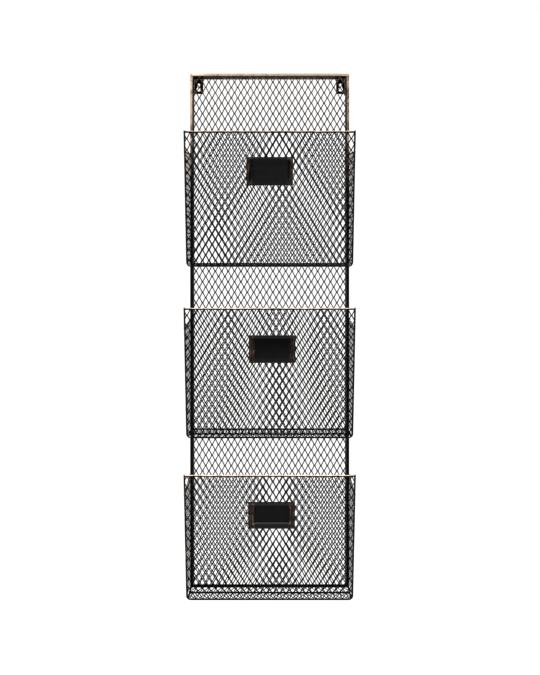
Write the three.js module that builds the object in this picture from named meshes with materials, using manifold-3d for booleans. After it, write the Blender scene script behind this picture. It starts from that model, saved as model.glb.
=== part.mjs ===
// Hanging file rack: a tall steel frame that hangs flat on a wall and carries three open-topped file
// pockets of expanded metal, each with a label holder and a card that slides out of it.
//
// Millimetres, +Z up and +X to the right. The front faces -Y and the wall is the plane y = 0.
// The origin is the middle of the top rail's back edge, which lies against the wall.

import * as THREE from "three";
import { mergeVertices } from "three/addons/utils/BufferGeometryUtils.js";
import { ConvexGeometry } from "three/addons/geometries/ConvexGeometry.js";
import Module from "manifold-3d";

const wasm = await Module();
wasm.setup();

// ---------------------------------------------------------------- driving dimensions

// Frame: sheet steel angle. Its web runs back to the wall, and its lip points outwards in front.
const FRAME_WIDTH = 305;
const FRAME_DEPTH = 30;
const LIP = 5;
const SHEET = 1.5;

// Expanded metal panels, made here as plain plates of the mesh's thickness.
const MESH = 1.2;

// The gap left between pieces that are welded or clipped to each other.
const GAP = 0.3;

// Pockets.
const WIRE = 3;
const RIM_WIRE = 3.5;
const WIRE_SIDES = 12;
const POCKET_WIDTH = 308.5;
const POCKET_HEIGHT = 241;
const DEPTH_AT_RIM = 100;
const DEPTH_AT_FLOOR = 55;
const CORNER_RADIUS = 7;
const CORNER_STEPS = 6;
const FOOT_ANGLE = Math.PI / 3;
const UPRIGHT_TIP = 2.5;
const FLOOR_BACK_RISE = 3;
const SIDE_DROP_AT_FRONT = 35;
const SIDE_DROP_AT_BACK = 27.5;

// Each pocket's rim height, and where its label holder sits: across, and below the rim.
const POCKETS = [
  { name: "upper", rimZ: -123, holderX: 0, holderDrop: 44 },
  { name: "middle", rimZ: -440, holderX: 4.5, holderDrop: 48 },
  { name: "lower", rimZ: -739, holderX: 3.5, holderDrop: 49 },
];

// Keyhole hanger plates in the top corners.
const HANGER = { width: 17, height: 28, thickness: 1.5, holeRadius: 4.5, slotWidth: 5, slotRise: 9, holeZ: 19 };

// Label holder: a stamped frame in front of a back plate, open at the top for the card.
const HOLDER = {
  width: 84,
  height: 51,
  backPlate: 0.8,
  slot: 1.4,
  face: 2.9,
  wall: 3,
  chamfer: 1.6,
  windowWidth: 61,
  windowHeight: 30.5,
  windowTop: 7.2,
  windowFlare: 3.4,
};
const CARD = { thickness: 0.8, sideGap: 0.5 };

// ---------------------------------------------------------------- worked-out places

const railHalf = FRAME_WIDTH / 2;
// The webs' inner faces: half the width between the stiles, and the top rail's underside.
const insideHalf = railHalf - LIP;
const insideTop = -SHEET / 2;
const wireRadius = WIRE / 2;
const sidePlane = POCKET_WIDTH / 2 - wireRadius;
const lean = Math.atan((DEPTH_AT_RIM - DEPTH_AT_FLOOR) / POCKET_HEIGHT);
const slopeLength = Math.hypot(POCKET_HEIGHT, DEPTH_AT_RIM - DEPTH_AT_FLOOR);
const floorSheetRise = wireRadius + GAP + MESH / 2;
// The foot wire runs outside the curved foot of the side mesh, FOOT_ANGLE below level from its centre.
const footReach = CORNER_RADIUS + MESH / 2 + GAP + wireRadius;
const footX = sidePlane - CORNER_RADIUS + footReach * Math.cos(FOOT_ANGLE);
const footRise = floorSheetRise + CORNER_RADIUS - footReach * Math.sin(FOOT_ANGLE);
const frameBottom = POCKETS.at(-1).rimZ - POCKET_HEIGHT - LIP / 2;

// ---------------------------------------------------------------- finishes

const paint = { color: 0x191817, roughness: 0.45, metalness: 0.6 };
const rubbedPaint = { color: 0x3b2c22, roughness: 0.4, metalness: 0.7 };
const meshPaint = { color: 0x2a2421, roughness: 0.55, metalness: 0.5 };
const cardStock = { color: 0x1d1d1c, roughness: 0.9, metalness: 0 };

// ---------------------------------------------------------------- geometry helpers

/** A box between two corners. */
function box(x0, x1, y0, y1, z0, z1) {
  const geometry = new THREE.BoxGeometry(x1 - x0, y1 - y0, z1 - z0);
  return geometry.translate((x0 + x1) / 2, (y0 + y1) / 2, (z0 + z1) / 2);
}

/** A straight round wire between the centres of its two end faces. */
function straightWire(from, to, diameter = WIRE) {
  const run = to.clone().sub(from);
  const geometry = new THREE.CylinderGeometry(diameter / 2, diameter / 2, run.length(), WIRE_SIDES);
  const turn = new THREE.Quaternion().setFromUnitVectors(new THREE.Vector3(0, 1, 0), run.clone().normalize());
  const middle = from.clone().add(to).multiplyScalar(0.5);
  return geometry.applyQuaternion(turn).translate(middle.x, middle.y, middle.z);
}

/** A route through listed stations, so that straight runs take one step and only bends are divided. */
class StationRoute extends THREE.Curve {
  constructor(stations) {
    super();
    this.stations = stations;
  }

  getPointAt(u, target = new THREE.Vector3()) {
    return target.copy(this.stations[Math.round(u * (this.stations.length - 1))]);
  }

  getTangentAt(u, target = new THREE.Vector3()) {
    const last = this.stations.length - 1;
    const index = Math.round(u * last);
    const before = this.stations[Math.max(index - 1, 0)];
    const after = this.stations[Math.min(index + 1, last)];
    const here = this.stations[index];
    const arriving = here.clone().sub(before).normalize();
    const leaving = after.clone().sub(here).normalize();
    return target.copy(arriving).add(leaving).normalize();
  }
}

/** A round wire bent along a list of stations. */
function bentWire(stations) {
  const section = new THREE.Shape();
  section.absarc(0, 0, wireRadius, 0, Math.PI * 2);
  return new THREE.ExtrudeGeometry(section, {
    steps: stations.length - 1,
    curveSegments: WIRE_SIDES,
    bevelEnabled: false,
    extrudePath: new StationRoute(stations),
  });
}

/** Turns a closed geometry into a manifold solid. */
function toSolid(geometry) {
  const bare = geometry.index ? geometry.toNonIndexed() : geometry.clone();
  bare.deleteAttribute("normal");
  bare.deleteAttribute("uv");
  const merged = mergeVertices(bare, 1e-4);
  const mesh = new wasm.Mesh({
    numProp: 3,
    vertProperties: Float32Array.from(merged.attributes.position.array),
    triVerts: Uint32Array.from(merged.index.array),
  });
  return new wasm.Manifold(mesh);
}

/** Turns a manifold solid back into a geometry. */
function toGeometry(solid) {
  const mesh = solid.getMesh();
  const geometry = new THREE.BufferGeometry();
  geometry.setAttribute("position", new THREE.BufferAttribute(mesh.vertProperties, 3));
  geometry.setIndex(new THREE.BufferAttribute(mesh.triVerts, 1));
  geometry.computeVertexNormals();
  return geometry;
}

/** One geometry with others cut out of it. */
function cut(geometry, ...cutters) {
  return toGeometry(cutters.reduce((solid, cutter) => solid.subtract(toSolid(cutter)), toSolid(geometry)));
}

/** A block whose two parallel rectangular ends may differ, each given as x0, x1, y0, y1 and z. */
function taperedBlock(...ends) {
  const points = ends.flatMap(([x0, x1, y0, y1, z]) => [
    new THREE.Vector3(x0, y0, z),
    new THREE.Vector3(x1, y0, z),
    new THREE.Vector3(x1, y1, z),
    new THREE.Vector3(x0, y1, z),
  ]);
  return new ConvexGeometry(points);
}

// ---------------------------------------------------------------- the rack and its meshes

const rack = new THREE.Group();

/** Adds a named piece to a group, by default the rack itself. */
function addPiece(name, geometry, finish, parent = rack) {
  const piece = new THREE.Mesh(geometry, new THREE.MeshStandardMaterial(finish));
  piece.name = name;
  parent.add(piece);
  return piece;
}

// ---------------------------------------------------------------- frame

/** The angle section's outline: the lip runs along +X from its outer edge, then the web along +Y. */
function angleSection() {
  const outline = new THREE.Shape();
  outline.moveTo(0, 0);
  outline.lineTo(LIP, 0);
  outline.lineTo(LIP, FRAME_DEPTH);
  outline.lineTo(LIP - SHEET, FRAME_DEPTH);
  outline.lineTo(LIP - SHEET, SHEET);
  outline.lineTo(0, SHEET);
  outline.closePath();
  return outline;
}

/** A length of angle standing on z = 0, with its lip's outer edge at the origin. */
function angleLength(length) {
  return new THREE.ExtrudeGeometry(angleSection(), { depth: length, bevelEnabled: false });
}

/** The top rail's lip fills both corners, and its web stops at the outer faces of the stiles' webs. */
function addTopRail() {
  const lipPast = LIP - SHEET;
  const ends = [[-1, lipPast], [FRAME_WIDTH - lipPast, FRAME_WIDTH + 1]];
  const endCuts = ends.map(([z0, z1]) => box(-1, LIP + 1, SHEET, FRAME_DEPTH + 1, z0, z1));
  const rail = addPiece("frame_top_rail", cut(angleLength(FRAME_WIDTH), ...endCuts), paint);
  // The section's length turns to run along X, and its lip to stand up from the web.
  rail.rotation.y = Math.PI / 2;
  rail.position.set(-railHalf, -FRAME_DEPTH, insideTop + LIP);
}

/** The stiles butt under the top rail. Their webs run back to the wall down the full height. */
function addStiles() {
  const left = toSolid(angleLength(insideTop - GAP - frameBottom));
  for (const [side, name, stile] of [
    [-1, "frame_left_stile", left],
    [1, "frame_right_stile", left.mirror([1, 0, 0])],
  ]) {
    addPiece(name, toGeometry(stile), paint).position.set(side * railHalf, -FRAME_DEPTH, frameBottom);
  }
}

/** The bottom rail is a flat bar between the stiles' webs, in the plane of the lips. */
function addBottomRail() {
  const half = insideHalf - GAP;
  const bar = box(-half, half, -FRAME_DEPTH, -FRAME_DEPTH + SHEET, frameBottom, frameBottom + LIP);
  addPiece("frame_bottom_rail", bar, paint);
}

/** The back mesh is welded between the webs, just behind the lips, and fills the frame. */
function addBackMesh() {
  const half = insideHalf - GAP;
  const front = -FRAME_DEPTH + SHEET + GAP;
  const top = insideTop - GAP;
  addPiece("back_mesh", box(-half, half, front, front + MESH, frameBottom, top), meshPaint);
}

/** A keyhole hanger plate lies flat on the wall in each top corner, inside the frame. */
function addHangers() {
  const top = insideTop - GAP;
  for (const [side, name] of [[-1, "left_hanger_plate"], [1, "right_hanger_plate"]]) {
    const middle = side * (insideHalf - GAP - HANGER.width / 2);
    const plate = new THREE.Shape();
    plate.moveTo(-HANGER.width / 2, -HANGER.height);
    plate.lineTo(HANGER.width / 2, -HANGER.height);
    plate.lineTo(HANGER.width / 2, 0);
    plate.lineTo(-HANGER.width / 2, 0);
    plate.closePath();
    // The keyhole is a round hole with a slot that rises from it to a round end.
    const keyhole = new THREE.Path();
    const slotHalf = HANGER.slotWidth / 2;
    const shoulder = Math.asin(slotHalf / HANGER.holeRadius);
    keyhole.absarc(0, -HANGER.holeZ, HANGER.holeRadius, Math.PI / 2 + shoulder, Math.PI / 2 - shoulder + 2 * Math.PI);
    keyhole.absarc(0, -HANGER.holeZ + HANGER.slotRise, slotHalf, 0, Math.PI);
    keyhole.closePath();
    plate.holes.push(keyhole);
    const sheet = new THREE.ExtrudeGeometry(plate, {
      depth: HANGER.thickness,
      bevelEnabled: false,
      curveSegments: WIRE_SIDES,
    });
    // The outline stands up, and the extrusion runs from the wall towards the room.
    sheet.rotateX(Math.PI / 2);
    addPiece(name, sheet, paint).position.set(middle, 0, top);
  }
}

// ---------------------------------------------------------------- pockets

/**
 * The leaning front's own frame: x across, z up the slope from the bottom wire's centre, and y
 * from the room towards the folders.
 */
function leaningFront(bottomZ) {
  const front = new THREE.Group();
  front.position.set(0, -FRAME_DEPTH - DEPTH_AT_FLOOR, bottomZ);
  front.rotation.x = lean;
  rack.add(front);
  return front;
}

/** The two uprights turn a rounded corner at the bottom to meet the bottom wire. */
function addUprights(pocket, front) {
  for (const [side, hand] of [[-1, "left"], [1, "right"]]) {
    const stations = [new THREE.Vector3(side * sidePlane, 0, slopeLength + UPRIGHT_TIP)];
    for (let step = 0; step <= CORNER_STEPS; step += 1) {
      const turn = (step / CORNER_STEPS) * (Math.PI / 2);
      const across = sidePlane - CORNER_RADIUS * (1 - Math.cos(turn));
      const rise = CORNER_RADIUS * (1 - Math.sin(turn));
      stations.push(new THREE.Vector3(side * across, 0, rise));
    }
    addPiece(`${pocket.name}_${hand}_upright`, bentWire(stations), rubbedPaint, front);
  }
}

/** The rim wire and the bottom wire close the front between the uprights. */
function addFrontCrossWires(pocket, front) {
  const rimEnd = sidePlane - wireRadius - GAP;
  const rim = straightWire(
    new THREE.Vector3(-rimEnd, 0, slopeLength),
    new THREE.Vector3(rimEnd, 0, slopeLength),
    RIM_WIRE,
  );
  addPiece(`${pocket.name}_rim_wire`, rim, rubbedPaint, front);
  const bottomEnd = sidePlane - CORNER_RADIUS - GAP;
  const bottom = straightWire(new THREE.Vector3(-bottomEnd, 0, 0), new THREE.Vector3(bottomEnd, 0, 0));
  addPiece(`${pocket.name}_front_bottom_wire`, bottom, paint, front);
}

/** The front mesh fills the front between the rim, the uprights and the bottom wire. */
function addFrontMesh(pocket, front) {
  const half = sidePlane - wireRadius - GAP;
  const low = wireRadius + GAP;
  const high = slopeLength - RIM_WIRE / 2 - GAP;
  const corner = CORNER_RADIUS - wireRadius - GAP;
  const outline = new THREE.Shape();
  outline.moveTo(-half, high);
  outline.lineTo(-half, low + corner);
  outline.absarc(-half + corner, low + corner, corner, Math.PI, Math.PI * 1.5);
  outline.absarc(half - corner, low + corner, corner, -Math.PI / 2, 0);
  outline.lineTo(half, high);
  outline.closePath();
  const sheet = new THREE.ExtrudeGeometry(outline, {
    depth: MESH,
    bevelEnabled: false,
    curveSegments: CORNER_STEPS,
  });
  sheet.rotateX(Math.PI / 2).translate(0, MESH / 2, 0);
  addPiece(`${pocket.name}_front_mesh`, sheet, meshPaint, front);
}

/** The y of the point just behind an upright, at a height above the pocket's bottom. */
function behindUpright(rise) {
  const clearance = (wireRadius + GAP + wireRadius * Math.tan(lean)) / Math.cos(lean);
  return -FRAME_DEPTH - DEPTH_AT_FLOOR - rise * Math.tan(lean) + clearance;
}

// The side's top wire falls a little towards the front. Its ends, and its slope.
const sideTopFront = POCKET_HEIGHT - SIDE_DROP_AT_FRONT;
const sideTopBack = POCKET_HEIGHT - SIDE_DROP_AT_BACK;
const sideBackY = -FRAME_DEPTH - GAP;
const sideTopSlope = Math.atan2(sideTopBack - sideTopFront, sideBackY - behindUpright(sideTopFront));

/** The side wires run from the uprights back to the stiles: one along the side's top, one at its foot. */
function addSideWires(pocket, bottomZ) {
  for (const [side, hand] of [[-1, "left"], [1, "right"]]) {
    const top = straightWire(
      new THREE.Vector3(side * sidePlane, behindUpright(sideTopFront), bottomZ + sideTopFront),
      new THREE.Vector3(side * sidePlane, sideBackY, bottomZ + sideTopBack),
    );
    addPiece(`${pocket.name}_${hand}_side_top_wire`, top, rubbedPaint);
    const foot = straightWire(
      new THREE.Vector3(side * footX, behindUpright(footRise), bottomZ + footRise),
      new THREE.Vector3(side * footX, sideBackY, bottomZ + footRise),
    );
    addPiece(`${pocket.name}_${hand}_side_foot_wire`, foot, paint);
  }
}

/** The side mesh stands between the side wires and curves inwards at its foot to meet the floor. */
function addSideMeshes(pocket, bottomZ) {
  const outer = CORNER_RADIUS + MESH / 2;
  const inner = CORNER_RADIUS - MESH / 2;
  const floorZ = floorSheetRise;
  const centreX = sidePlane - CORNER_RADIUS;
  const centreZ = floorZ + CORNER_RADIUS;
  const tall = POCKET_HEIGHT;
  // The section across the sheet, seen from the front and extruded from the room towards the wall.
  const section = new THREE.Shape();
  section.moveTo(sidePlane + MESH / 2, tall);
  section.lineTo(sidePlane - MESH / 2, tall);
  section.lineTo(sidePlane - MESH / 2, centreZ);
  section.absarc(centreX, centreZ, inner, 0, -Math.PI / 2, true);
  section.lineTo(centreX, floorZ - MESH / 2);
  section.absarc(centreX, centreZ, outer, -Math.PI / 2, 0);
  section.closePath();
  const deep = DEPTH_AT_RIM - GAP;
  const sheet = new THREE.ExtrudeGeometry(section, {
    depth: deep,
    bevelEnabled: false,
    curveSegments: CORNER_STEPS,
  });
  sheet.rotateX(Math.PI / 2).translate(0, -FRAME_DEPTH - GAP, 0);
  // One block trims the sheet behind the uprights, and another trims it under the side's top wire.
  const trimReach = 2 * POCKET_HEIGHT;
  const frontTrim = box(0, trimReach, -trimReach, wireRadius + GAP, -trimReach, trimReach);
  frontTrim.rotateX(lean).translate(0, -FRAME_DEPTH - DEPTH_AT_FLOOR, 0);
  const topTrim = box(0, trimReach, -trimReach, trimReach, -wireRadius - GAP, trimReach);
  topTrim.rotateX(sideTopSlope).translate(0, sideBackY, sideTopBack);
  const right = toSolid(sheet).subtract(toSolid(frontTrim)).subtract(toSolid(topTrim));
  for (const [solid, hand] of [[right.mirror([1, 0, 0]), "left"], [right, "right"]]) {
    addPiece(`${pocket.name}_${hand}_side_mesh`, toGeometry(solid), meshPaint).position.z = bottomZ;
  }
}

/**
 * The floor mesh lies on a middle wire and meets the curved feet of the side meshes. Behind it the back
 * wire runs a little higher, along the frame.
 */
function addFloor(pocket, bottomZ) {
  const half = sidePlane - CORNER_RADIUS - GAP;
  const backY = -FRAME_DEPTH - GAP - wireRadius;
  const backZ = bottomZ + FLOOR_BACK_RISE;
  const backWire = straightWire(new THREE.Vector3(-half, backY, backZ), new THREE.Vector3(half, backY, backZ));
  addPiece(`${pocket.name}_floor_back_wire`, backWire, paint);

  const end = footX - wireRadius - GAP;
  const y = -FRAME_DEPTH - DEPTH_AT_FLOOR / 2;
  const middleWire = straightWire(new THREE.Vector3(-end, y, bottomZ), new THREE.Vector3(end, y, bottomZ));
  addPiece(`${pocket.name}_floor_middle_wire`, middleWire, paint);

  const front = -FRAME_DEPTH - DEPTH_AT_FLOOR + MESH;
  const back = backY - wireRadius - GAP;
  const z = bottomZ + floorSheetRise;
  const sheet = box(-half, half, front, back, z - MESH / 2, z + MESH / 2);
  addPiece(`${pocket.name}_floor_mesh`, sheet, meshPaint);
}

/** The label holder sits on the front mesh, and its card drops in from the open top. */
function addLabel(pocket, front) {
  const label = new THREE.Group();
  // The label's own axes: x across, y up the slope from the holder's bottom edge, z towards the room.
  label.rotation.x = Math.PI / 2;
  label.position.set(pocket.holderX, 0, slopeLength - pocket.holderDrop / Math.cos(lean) - HOLDER.height);
  front.add(label);

  const half = HOLDER.width / 2;
  const back = MESH / 2 + GAP;
  const slotBack = back + HOLDER.backPlate;
  const slotFront = slotBack + HOLDER.slot;
  const face = slotFront + HOLDER.face;
  const chamferStart = face - HOLDER.chamfer;
  const block = taperedBlock(
    [-half, half, 0, HOLDER.height, back],
    [-half, half, 0, HOLDER.height, chamferStart],
    [-half + HOLDER.chamfer, half - HOLDER.chamfer, HOLDER.chamfer, HOLDER.height - HOLDER.chamfer, face],
  );
  const slotHalf = half - HOLDER.wall;
  const slot = box(-slotHalf, slotHalf, HOLDER.wall, HOLDER.height + 1, slotBack, slotFront);
  const windowHalf = HOLDER.windowWidth / 2;
  const windowHigh = HOLDER.height - HOLDER.windowTop;
  const windowLow = windowHigh - HOLDER.windowHeight;
  const flare = HOLDER.windowFlare;
  const window = taperedBlock(
    [-windowHalf, windowHalf, windowLow, windowHigh, slotFront - GAP],
    [-windowHalf - flare, windowHalf + flare, windowLow - flare, windowHigh + flare, face],
  );
  addPiece(`${pocket.name}_label_holder`, cut(block, slot, window), paint, label);

  const cardHalf = slotHalf - CARD.sideGap;
  const cardBack = slotBack + (HOLDER.slot - CARD.thickness) / 2;
  const cardSheet = box(
    -cardHalf,
    cardHalf,
    HOLDER.wall + GAP,
    HOLDER.height - GAP,
    cardBack,
    cardBack + CARD.thickness,
  );
  addPiece(`${pocket.name}_label_card`, cardSheet, cardStock, label);
}

/** One whole pocket. */
function addPocket(pocket) {
  const bottomZ = pocket.rimZ - POCKET_HEIGHT;
  const front = leaningFront(bottomZ);
  addUprights(pocket, front);
  addFrontCrossWires(pocket, front);
  addFrontMesh(pocket, front);
  addSideWires(pocket, bottomZ);
  addSideMeshes(pocket, bottomZ);
  addFloor(pocket, bottomZ);
  addLabel(pocket, front);
}

addTopRail();
addStiles();
addBottomRail();
addBackMesh();
addHangers();
POCKETS.forEach(addPocket);

export default rack;
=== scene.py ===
"""Hanging file rack: the finished look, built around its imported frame.

A steel angle frame hangs flat on a wall and carries three leaning pockets of expanded metal. Every
piece here stands for one node of the frame and takes its place from that node, in metres, with the
front facing -Y and +Z up. Each sub-assembly is a class that builds its meshes with bmesh operators
and dresses them with procedural finishes.
"""

import enum
import logging
import math
from collections.abc import Callable
from dataclasses import dataclass, field

import bmesh
import bpy
from mathutils import Matrix, Vector

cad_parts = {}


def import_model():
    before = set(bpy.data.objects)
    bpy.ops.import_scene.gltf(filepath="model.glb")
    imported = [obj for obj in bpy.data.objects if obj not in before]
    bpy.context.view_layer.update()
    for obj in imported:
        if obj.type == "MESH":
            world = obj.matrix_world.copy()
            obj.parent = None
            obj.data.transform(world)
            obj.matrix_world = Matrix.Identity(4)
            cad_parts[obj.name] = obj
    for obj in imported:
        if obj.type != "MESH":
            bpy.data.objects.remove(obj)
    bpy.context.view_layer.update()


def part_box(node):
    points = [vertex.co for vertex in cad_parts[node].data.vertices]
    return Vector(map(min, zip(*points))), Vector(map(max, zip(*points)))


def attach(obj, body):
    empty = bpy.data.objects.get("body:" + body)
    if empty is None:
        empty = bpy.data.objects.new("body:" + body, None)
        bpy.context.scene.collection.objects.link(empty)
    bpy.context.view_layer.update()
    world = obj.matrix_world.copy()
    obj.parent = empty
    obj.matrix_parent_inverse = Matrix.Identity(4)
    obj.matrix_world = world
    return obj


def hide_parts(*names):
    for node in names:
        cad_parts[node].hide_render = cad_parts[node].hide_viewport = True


log = logging.getLogger("file_rack")

# Per-vertex wear, which on upward faces also carries a painted highlight from the top light.
WEAR_AND_HIGHLIGHT = "wear_and_highlight"
SHARP = math.radians(40)
UP = Vector((0, 0, 1))
BACK = Vector((0, 1, 0))
# How far each pocket's diamonds are shifted, across and up the slope.
MESH_PHASES = {"upper": (0.0008, 0.0), "middle": (0.0012, 0.0), "lower": (0.0075, 0.0004)}
WAYS = {"up": UP, "left": Vector((-1, 0, 0)), "right": Vector((1, 0, 0)), "front": -BACK}


# ---------------------------------------------------------------- mesh helpers


def lift_plane(origin: Vector, lean: float = 0.0) -> Matrix:
    """The matrix that stands a flat drawing up, facing the room.

    Args:
        origin: where the drawing's own origin goes.
        lean: how far the top comes out towards the room, in radians.

    Returns:
        A matrix that takes x across, y up the slope and z out towards the room.
    """
    return Matrix.Translation(origin) @ Matrix.Rotation(math.pi / 2 + lean, 4, "X")


def everything(bm: bmesh.types.BMesh) -> list:
    """All of a bmesh's vertices, edges and faces in one list."""
    return bm.verts[:] + bm.edges[:] + bm.faces[:]


def only(kind: type, geometry: list) -> list:
    """The vertices, edges or faces among what an operator made."""
    return [g for g in geometry if isinstance(g, kind)]


def clip(bm: bmesh.types.BMesh, point: Vector, outward: Vector) -> None:
    """Cuts away what lies beyond a plane and closes the cut ends.

    Args:
        bm: the mesh to cut.
        point: a point on the plane.
        outward: the direction of what is cut away.
    """
    made = bmesh.ops.bisect_plane(
        bm, geom=everything(bm), plane_co=point, plane_no=outward, dist=1e-7, clear_outer=True
    )
    bmesh.ops.holes_fill(bm, edges=only(bmesh.types.BMEdge, made["geom_cut"]), sides=0)


def draw_out(bm: bmesh.types.BMesh, faces: list, way: Vector) -> list:
    """Extrudes faces and moves the new ones along.

    Args:
        bm: the mesh.
        faces: the faces to extrude.
        way: how far and which way they move.

    Returns:
        The moved faces.
    """
    made = bmesh.ops.extrude_face_region(bm, geom=faces)["geom"]
    bmesh.ops.translate(bm, verts=only(bmesh.types.BMVert, made), vec=way)
    return only(bmesh.types.BMFace, made)


def soften(bm: bmesh.types.BMesh, edges: list, width: float, segments: int = 2) -> None:
    """Rounds edges over.

    Args:
        bm: the mesh.
        edges: the edges to round.
        width: how far the rounding reaches from each edge.
        segments: how many steps the rounding has.
    """
    bmesh.ops.bevel(
        bm, geom=edges, offset=width, segments=segments, profile=0.5, material=-1, affect="EDGES"
    )


def set_wear_and_highlight(
    bm: bmesh.types.BMesh,
    base: float,
    towards: dict[str, float],
    fade: Callable[[Vector], float] = lambda place: 1.0,
) -> None:
    """Writes how worn each vertex is, from the way it faces and where it is; the gain on upward faces also
    paints the top light's highlight as bronze.

    Args:
        bm: the mesh to mark.
        base: the wear of a face that looks nowhere special.
        towards: extra wear for faces that look one of the WAYS; looking up, it is also a painted
            highlight.
        fade: a function from a vertex's place to a factor, where the wear changes along the piece.
    """
    layer = bm.verts.layers.float.get(WEAR_AND_HIGHLIGHT) or bm.verts.layers.float.new(WEAR_AND_HIGHLIGHT)
    bm.normal_update()
    for vert in bm.verts:
        # Upward faces get extra bronze as a painted highlight of the top light, besides their real wear.
        facing = sum(gain * max(0.0, vert.normal.dot(WAYS[way])) for way, gain in towards.items())
        vert[layer] = (base + facing) * fade(vert.co)


def add_block(bm: bmesh.types.BMesh, low: Vector, high: Vector) -> list:
    """Adds a square block between two opposite corners.

    Args:
        bm: the mesh to add it to.
        low: its lowest corner.
        high: its highest corner.

    Returns:
        The block's edges.
    """
    place = Matrix.Translation((low + high) / 2) @ Matrix.Diagonal((*(high - low), 1))
    made = bmesh.ops.create_cube(bm, size=1.0, matrix=place)
    return list({e for v in made["verts"] for e in v.link_edges})


def add_bead(
    bm: bmesh.types.BMesh,
    centre: Vector,
    radius: float,
    squash: tuple[float, float, float] = (1, 1, 1),
) -> None:
    """Adds a small weld bead.

    Args:
        bm: the mesh to add it to.
        centre: the bead's middle.
        radius: its radius before squashing.
        squash: its scale along each axis.
    """
    place = Matrix.Translation(centre) @ Matrix.Diagonal((*squash, 1))
    bmesh.ops.create_icosphere(bm, subdivisions=2, radius=radius, matrix=place)


def add_rod(
    bm: bmesh.types.BMesh,
    start: Vector,
    end: Vector,
    radius: float,
    sides: int,
    cuts: int,
) -> None:
    """Adds a straight round rod.

    Args:
        bm: the mesh to add it to.
        start: the centre of one end.
        end: the centre of the other.
        radius: the rod's radius.
        sides: how many sides its section has.
        cuts: how many rings divide its length.
    """
    run = end - start
    turn = run.to_track_quat("Z", "Y").to_matrix().to_4x4()
    place = Matrix.Translation((start + end) / 2) @ turn
    made = bmesh.ops.create_cone(
        bm, cap_ends=True, segments=sides, radius1=radius, radius2=radius, depth=run.length, matrix=place
    )
    edges = {e for v in made["verts"] for e in v.link_edges}
    long_edges = [e for e in edges if e.calc_length() > run.length / 2]
    bmesh.ops.subdivide_edges(bm, edges=long_edges, cuts=cuts)


def finish_piece(
    bm: bmesh.types.BMesh,
    node: str,
    body: str,
    material: bpy.types.Material,
) -> None:
    """Makes the finished object for one node, and ties it to the frame.

    Args:
        bm: the finished mesh, in the frame's own place. It is freed.
        node: the CAD node that the piece stands for.
        body: the body that it moves with.
        material: the finish.
    """
    mesh = bpy.data.meshes.new(f"fine_{node}")
    bm.normal_update()
    for face in bm.faces:
        face.smooth = True
    for edge in bm.edges:
        edge.smooth = len(edge.link_faces) != 2 or edge.calc_face_angle(0.0) < SHARP
    bm.to_mesh(mesh)
    bm.free()
    obj = bpy.data.objects.new(f"fine_{node}", mesh)
    bpy.context.scene.collection.objects.link(obj)
    mesh.materials.append(material)
    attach(obj, body)
    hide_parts(node)
    log.info("%s: %d faces on %s", obj.name, len(mesh.polygons), body)


# ---------------------------------------------------------------- finishes


Colour = tuple[float, float, float]
Amount = float | bpy.types.NodeSocket
Tint = Colour | bpy.types.NodeSocket


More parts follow.
